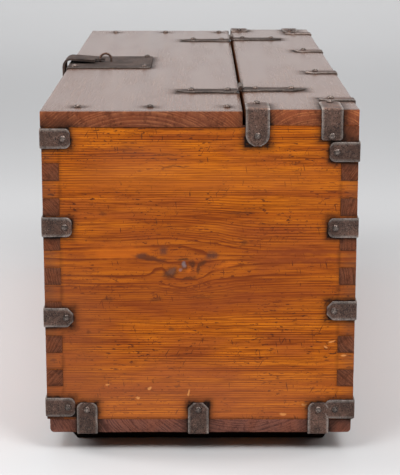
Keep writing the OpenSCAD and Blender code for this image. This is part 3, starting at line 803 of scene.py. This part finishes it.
class Ribbon:
    """A forged strip. Each row across it is a place on the wood's side, the way out from the wood
    and a half width; the strip is closed round the edge and at both ends."""

    def __init__(self, side, seed, thickness=IRON_T, rag=0.22 * MM):
        self.side, self.seed, self.thickness, self.rag = Vector(side), seed, thickness, rag
        self.rows = []

    def row(self, place, out, half, height=1.0):
        self.rows.append((Vector(place), Vector(out).normalized(), half, height))

    def add_to(self, bm, worn):
        edge, column = 0.7 * MM, 3.0 * MM
        rings = []
        for place, out, half, height in self.rows:
            t = self.thickness * height
            inner = max(half - edge, half * 0.4)
            columns = max(2, round(2 * inner / column))
            rim = [(half, 0.0, 0.0), (half, 0.5 * t, 0.3), (half - 0.3 * edge, 0.86 * t, 1.0)]
            section = [(-across, up, rub) for across, up, rub in rim]
            section += [(-inner + 2 * inner * k / columns, t, 0.8 if k in (0, columns) else 0.0)
                        for k in range(columns + 1)] + rim[::-1]
            ring = []
            for across, up, rub in section:
                spot = place + self.side * across + out * up
                ragged = wobble(spot, 0.012, self.seed) * self.rag
                if abs(across) > inner - TINY or rub:
                    spot = spot + self.side * ragged * (1 if across > 0 else -1)
                if up > 0.6 * t:
                    spot = spot - out * (0.1 * MM * (1.0 + wobble(spot, 0.009, self.seed + 3.0)))
                vert = bm.verts.new(spot)
                vert[worn] = rub
                ring.append(vert)
            rings.append(ring)
        for a, b in zip(rings, rings[1:]):
            if len(a) == len(b):
                add_ring(bm, a, b)
            else:
                self.stitch(bm, a, b)
        bm.faces.new(rings[0])
        bm.faces.new(list(reversed(rings[-1])))

    def stitch(self, bm, a, b):
        """Joins two rows with different numbers of points by triangles."""
        i = j = 0
        while i < len(a) or j < len(b):
            if j >= len(b) or (i < len(a) and (i + 1) / len(a) <= (j + 1) / len(b)):
                bm.faces.new([a[i % len(a)], a[(i + 1) % len(a)], b[j % len(b)]])
                i += 1
            else:
                bm.faces.new([a[i % len(a)], b[(j + 1) % len(b)], b[j % len(b)]])
                j += 1


def tip_rows(length, half, style, size):
    """(distance from the bend, half width, height) along one leg, out to its tip, which is a clip at
    45 degrees or round."""
    rows = []
    place = 2.0 * MM
    while place < length - size - 1.0 * MM:
        rows.append((place, half, 1.0))
        place += 3.5 * MM
    for share in (1.0, 0.75, 0.5, 0.3, 0.15, 0.05):
        back = size * share
        if style == "clip":
            width = half - (size - back)
        else:
            width = half - size + math.sqrt(max(0.0, size * size - (size - back) ** 2))
        rows.append((length - back, max(width, 1.0 * MM), 1.0))
    rows.append((length - 0.2 * MM, rows[-1][1] * 0.97, 0.84))
    rows.append((length, rows[-1][1] * 0.95, 0.45))
    return rows


def tip(style, size, narrower=0.0):
    """The shape of a leg, for bent_strip(): a tip of size mm, on a leg narrower than its box."""
    return lambda length, half: tip_rows(length, half - narrower * MM, style, size * MM)


def diamond(neck):
    """A leg that starts neck mm narrower on each side, swells to a diamond and runs out to a point."""
    def rows(length, half):
        thin, middle, end = half - neck * MM, length / MM - 14.0, length / MM
        profile = [(2, thin), (10, thin), (14, thin), (17, thin * 0.98), (20, thin * 0.99),
                   (24, (thin + half) / 2), (middle, half), (middle + 2, half * 0.97),
                   (middle + 6, half * 0.6), (end - 3, half * 0.26), (end - 1, half * 0.12)]
        return [(d * MM, w, 1.0) for d, w in profile] + [(length - 0.3 * MM, half * 0.07, 0.8),
                                                         (length, half * 0.03, 0.4)]
    return rows


def bent_strip(bm, worn, box, out_a, out_b, leg_a, leg_b, seed):
    """A strip round a square edge that fills a box. Leg A lies on the face that looks along out_a and
    runs away from out_b; leg B lies on the face that looks along out_b and runs away from out_a."""
    low, high = box
    out_a, out_b = Vector(out_a), Vector(out_b)
    signs = out_a + out_b
    edge, spans = Vector(), []
    for k in range(3):
        if signs[k]:
            edge[k] = high[k] - IRON_T if signs[k] > 0 else low[k] + IRON_T
            spans.append(high[k] - low[k] - IRON_T)
        else:
            edge[k] = (low[k] + high[k]) / 2
            spans.append((high[k] - low[k]) / 2)
    if not signs.z:
        spans[Y] = spans[X]  # the legs of a corner strap are the same
    axis_a, axis_b = (max(range(3), key=lambda k: abs(out[k])) for out in (out_a, out_b))
    half = spans[3 - axis_a - axis_b]
    rows_a, rows_b = leg_a(spans[axis_b], half), leg_b(spans[axis_a], half)
    strip = Ribbon([0.0 if sign else 1.0 for sign in signs], seed)
    for d, width, height in reversed(rows_a):
        strip.row(edge - out_b * d, out_a, width, height)
    inner_r, steps = 0.7 * MM, 6
    centre = edge - out_a * inner_r - out_b * inner_r
    for k in range(steps + 1):
        turn = math.pi / 2 * k / steps
        out = out_a * math.cos(turn) + out_b * math.sin(turn)
        strip.row(centre + out * inner_r, out, rows_a[0][1])
    for d, width, height in rows_b:
        strip.row(edge - out_a * d, out_b, width, height)
    strip.add_to(bm, worn)


def strap(node, material, out_a, out_b, leg_a, leg_b, seed, body="chest"):
    bm, worn = new_iron()
    bent_strip(bm, worn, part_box(node), out_a, out_b, leg_a, leg_b, seed)
    close_iron(node, bm, material, body)


def straps(material):
    rounded, clipped = tip("round", 7.0), tip("clip", 7.0)
    for number, corner in enumerate(CORNERS):
        end = (1 if "right" in corner else -1, 0, 0)
        back = (0, 1 if "back" in corner else -1, 0)
        for i in range(1, 5):
            leg = clipped if i == 3 else rounded
            strap(f"corner_strap_{corner}_{i}", material, end, back, leg, leg, number * 7.0 + i)
    for side, end in SIDES:
        for i in range(1, 4):
            strap(f"bottom_strap_{side}_{i}", material, (end, 0, 0), (0, 0, -1),
                  clipped if i == 2 else rounded, rounded, 31.0 + i)
    bm, worn = new_iron()
    for number, faces in enumerate(solids_of("long_edge_straps")):
        box = corners_of(points_of(faces))
        back = (0, 1 if box[0].y > 0 else -1, 0)
        bent_strip(bm, worn, box, back, (0, 0, -1), rounded, rounded, 51.0 + number)
    close_iron("long_edge_straps", bm, material)
    for side, end in SIDES:
        for kind, size in (("top_bracket", 13.4), ("rear_corner_strap", 3.5)):
            strap(f"{kind}_{side}", material, (0, 0, 1), (end, 0, 0), tip("round", 6.0),
                  tip("round", size), 71.0 + end)
    for i in range(1, 5):
        strap(f"rear_edge_strap_{i}", material, (0, 0, 1), (0, 1, 0), diamond(4.0),
              tip("round", 6.0, narrower=4.0), 81.0 + i)


def leaf_profile(nails, half, reach):
    """(distance from the pin, half width) in mm of a hinge leaf: a plate with a waist, and a point."""
    waist, start, step = half * 0.71, 4.4, 3.2
    near, far = nails
    corners = ((start, half), (near, half), (near + 12, waist), (far - 14, waist),
               (far - 4, half * 0.88), (far + 1, half * 0.88), (reach, 0.3))
    places = {d for d, w in corners} | {start + step * k for k in range(int((reach - 5) / step))}
    return [(d, float(np.interp(d, [c[0] for c in corners], [c[1] for c in corners])))
            for d in sorted(places | {reach - 1.0})]


def knuckle_shell(bm, worn, pin, x, width, toward, board):
    """A rolled knuckle with the strap that climbs to it from the plate."""
    bore, outer, chamfer, steps = 1.75 * MM, 3.6 * MM, 0.4 * MM, 20
    end = width / 2
    loops = []
    for at, radius in ((-end, bore), (-end, outer - chamfer), (chamfer - end, outer),
                       (end - chamfer, outer), (end, outer - chamfer), (end, bore)):
        loop = []
        for k in range(steps):
            turn = 2 * math.pi * k / steps
            vert = bm.verts.new(Vector((x + at, pin.y + radius * math.cos(turn),
                                        pin.z + radius * math.sin(turn))))
            if radius > bore:
                vert[worn] = 0.55 if math.sin(turn) > 0.3 else 0.1
            loop.append(vert)
        loops.append(loop)
    for a, b in zip(loops, loops[1:] + loops[:1]):
        add_ring(bm, a, b)
    web = Ribbon((1, 0, 0), 3.0, thickness=1.9 * MM, rag=0.05 * MM)
    rise = (pin.z - board) / MM
    for d, up in ((7.5, 0.05), (5.6, 0.05), (4.4, 0.3), (3.2, rise - 3.1), (2.4, rise - 2.3)):
        web.row((x, pin.y + toward * d * MM, board + up * MM),
                (0, -toward * (0.0 if d > 5 else 0.5), 1), width / 2 - 0.1 * MM)
    web.add_to(bm, worn)


def hinges(material, pin_material):
    knuckle, play = 13.7 * MM, 0.15 * MM
    for side, _ in SIDES:
        pin_low, pin_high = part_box(f"hinge_{side}_pin")
        pin = (pin_low + pin_high) / 2
        for leaf, body, board_node, toward, nails in (
                ("lid_leaf", "lid", "lid_board", -1.0, (16.0, 62.0)),
                ("rear_leaf", "chest", "rear_top_board", 1.0, (18.0, 64.0))):
            low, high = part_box(f"hinge_{side}_{leaf}")
            reach = (pin.y - low.y if toward < 0 else high.y - pin.y) / MM
            half = (high.x - low.x) / 2
            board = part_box(board_node)[1].z
            bm, worn = new_iron()
            strip = Ribbon((1, 0, 0), 91.0 + toward)
            for d, width in leaf_profile(nails, half / MM, reach):
                height = 0.5 if d > reach - 0.4 else 1.0
                place = (pin.x, pin.y + toward * d * MM, board)
                strip.row(place, (0, 0, 1), width * MM, height)
            strip.add_to(bm, worn)
            if leaf == "lid_leaf":
                knuckle_shell(bm, worn, pin, pin.x, knuckle, toward, board)
            else:
                outer = half - knuckle / 2 - 2 * play
                for sign in (-1, 1):
                    offset = sign * (knuckle / 2 + play + outer / 2 + play)
                    knuckle_shell(bm, worn, pin, pin.x + offset, outer, toward, board)
            close_iron(f"hinge_{side}_{leaf}", bm, material, body)
        carry(f"hinge_{side}_pin", pin_material, 0.4 * MM)


def carry(node, material, bevel):
    """Keeps a CAD node, with its edges eased and a better material."""
    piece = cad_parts[node]
    piece.data.materials.clear()
    piece.data.materials.append(material)
    ease = piece.modifiers.new("eased_edges", "BEVEL")
    ease.width = bevel
    ease.segments = 2
    ease.limit_method = "ANGLE"
    ease.angle_limit = math.radians(35)


def lock_plate(material):
    low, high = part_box("lock_plate")
    half, mid = (high.x - low.x) / 2, (low.z + high.z) / 2
    leg = tip_rows((high.z - low.z) / 2, half, "round", 18.0 * MM)
    bm, worn = new_iron()
    strip = Ribbon((1, 0, 0), 111.0)
    for sign in (-1, 1):
        for d, width, height in (reversed(leg) if sign < 0 else leg):
            strip.row((0.0, high.y, mid + sign * d), (0, -1, 0), width, height)
    strip.add_to(bm, worn)
    close_iron("lock_plate", bm, material)


def dome(bm, worn, place, out, radius, height, seed):
    """A hand-forged nail head: a low dome with a few flats."""
    side = out.orthogonal().normalized()
    other = out.cross(side)
    around, rings = 18, []
    profile = ((0.98, 0.0), (1.0, 0.18), (0.93, 0.42), (0.78, 0.68), (0.55, 0.88), (0.28, 0.98))
    squash = 1.0 - 0.05 * (1.0 + wobble(place, 0.02, seed))
    for reach, up in profile:
        ring = []
        for k in range(around):
            turn = 2 * math.pi * k / around
            uneven = 1.0 - 0.035 * (1.0 + math.sin(3 * turn + seed * 2.1)) * reach
            flat = side * math.cos(turn) + other * math.sin(turn) * squash
            spot = place + flat * radius * reach * uneven
            spot += out * height * (up - 0.04 * (1 + math.sin(2 * turn + seed)) * (up > 0.5))
            vert = bm.verts.new(spot)
            vert[worn] = 0.05 + 0.9 * max(0.0, up - 0.6)
            ring.append(vert)
        rings.append(ring)
    for a, b in zip(rings, rings[1:]):
        add_ring(bm, a, b)
    crown = bm.verts.new(place + out * height)
    crown[worn] = 0.7
    for k in range(around):
        bm.faces.new([rings[-1][k], rings[-1][(k + 1) % around], crown])
    bm.faces.new(list(reversed(rings[0])))


def build_nails(material):
    for node in sorted(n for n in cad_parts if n.startswith("nails_")):
        bm, worn = new_iron()
        rise = TOP_NAIL_RISE if node in ("nails_top", "nails_lid") else 1.0
        for number, (place, out, radius, height) in enumerate(nail_places(node)):
            dome(bm, worn, place - out * NAIL_SEAT, out, radius, height * rise + NAIL_SEAT, number)
        close_iron(node, bm, material, "lid" if node == "nails_lid" else "chest", "heads")


def build_ironwork():
    strap_iron = iron("strap_iron", rgb(0.085, 0.051, 0.04), rgb(0.135, 0.07, 0.05), (5.0, 1.0, 9.0))
    plate_iron = iron("plate_iron", rgb(0.05, 0.042, 0.04), rgb(0.07, 0.053, 0.047),
                      (55.0, 31.0, 2.0), rough=0.6, shine=0.08, metal=0.0, bare=0.5, shade=0.68)
    rusty = iron("rusty_iron", rgb(0.055, 0.033, 0.024), rgb(0.105, 0.042, 0.024),
                 (15.0, 61.0, 12.0), rough=0.5)
    nail_iron = iron("nail_iron", rgb(0.05, 0.035, 0.029), rgb(0.09, 0.062, 0.052),
                     (8.0, 2.0, 44.0), rough=0.18, metal=0.6)
    straps(strap_iron)
    hinges(plate_iron, rusty)
    strap("hasp_plate", plate_iron, (0, 0, 1), (0, -1, 0), tip("clip", 5.0), tip("clip", 4.0), 101.0,
          "lid")
    lock_plate(plate_iron)
    carry("hasp", plate_iron, 0.5 * MM)
    carry("hasp_staple", rusty, 0.2 * MM)
    carry("lock_staples", rusty, 0.7 * MM)
    build_nails(nail_iron)


# ---------------- studio

def studio():
    """A sweep of pale paper: the floor, a bend and the wall behind the chest."""
    s = Shader("studio_paper")
    s.set(Base_Color=rgb(0.44, 0.44, 0.445), Roughness=0.9)
    bm = bmesh.new()
    half, front, back, bend_r, wall_h, steps = 9.0, 6.0, -7.0, 3.0, 7.0, 12
    profile = [(front, 0.0), (back + bend_r, 0.0)]
    for k in range(1, steps + 1):
        turn = math.pi / 2 * k / steps
        profile.append((back + bend_r - bend_r * math.sin(turn), bend_r - bend_r * math.cos(turn)))
    profile.append((back, wall_h))
    rows = [[bm.verts.new((x, y, z)) for y in (-half, half)] for x, z in profile]
    for a, b in zip(rows, rows[1:]):
        bm.faces.new([a[0], a[1], b[1], b[0]])
    sweep = smooth_object("studio_sweep", bm, s.material)


def softbox(name, place, aim, size, power):
    light = bpy.data.lights.new(name, "AREA")
    light.shape = "RECTANGLE"
    light.size, light.size_y = size
    light.energy = power
    lamp = link_object(name, light)
    lamp.location = place
    lamp.rotation_mode = "QUATERNION"
    lamp.rotation_quaternion = (Vector(aim) - Vector(place)).to_track_quat("-Z", "Y")


def lights():
    world = bpy.data.worlds.new("studio_air")
    bpy.context.scene.world = world
    world.use_nodes = True
    air = world.node_tree.nodes["Background"].inputs
    air["Color"].default_value = rgb(0.8, 0.82, 0.86)
    air["Strength"].default_value = 0.15
    softbox("overhead", (0.2, 0.0, 3.2), (0.0, 0.0, 0.2), (3.5, 3.0), 88.0)
    softbox("key_left", (2.2, -1.6, 3.0), (0.3, 0.0, 0.2), (1.4, 1.4), 68.0)
    softbox("key_right", (2.2, 1.6, 3.0), (0.3, 0.0, 0.2), (1.4, 1.4), 80.0)
    softbox("far_floor", (-4.0, 0.0, 3.4), (-4.0, 0.0, 0.0), (3.0, 4.5), 34.0)
    softbox("backdrop_wash", (-4.4, 0.0, 3.6), (-6.6, 0.0, 0.9), (8.0, 1.0), 185.0)
    softbox("floor_left", (0.15, -1.5, 0.9), (0.3, -0.6, 0.0), (0.4, 0.6), 21.0)
    softbox("floor_right", (0.15, 1.5, 0.9), (0.3, 0.6, 0.0), (0.4, 0.6), 9.0)


def camera():
    """A long lens at the chest's right-hand end, looking slightly down, as fitted to the photo.
    distance is from the chest's middle and height is above its base, in metres."""
    distance, height, tilt = 2.278, 0.6675, math.radians(13.18)
    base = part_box("bottom_board")[0].z
    cam = bpy.data.cameras.new("camera")
    cam.lens = 119.7
    cam.sensor_width = 36.0
    obj = link_object("camera", cam)
    obj.location = (distance, (front_low.y + back_high.y) / 2, height + base)
    obj.rotation_euler = (math.pi / 2 - tilt, 0.0, math.pi / 2)
    bpy.context.scene.camera = obj


build_boards()
build_ironwork()
studio()
lights()
camera()
bpy.context.scene.view_settings.view_transform = "Standard"
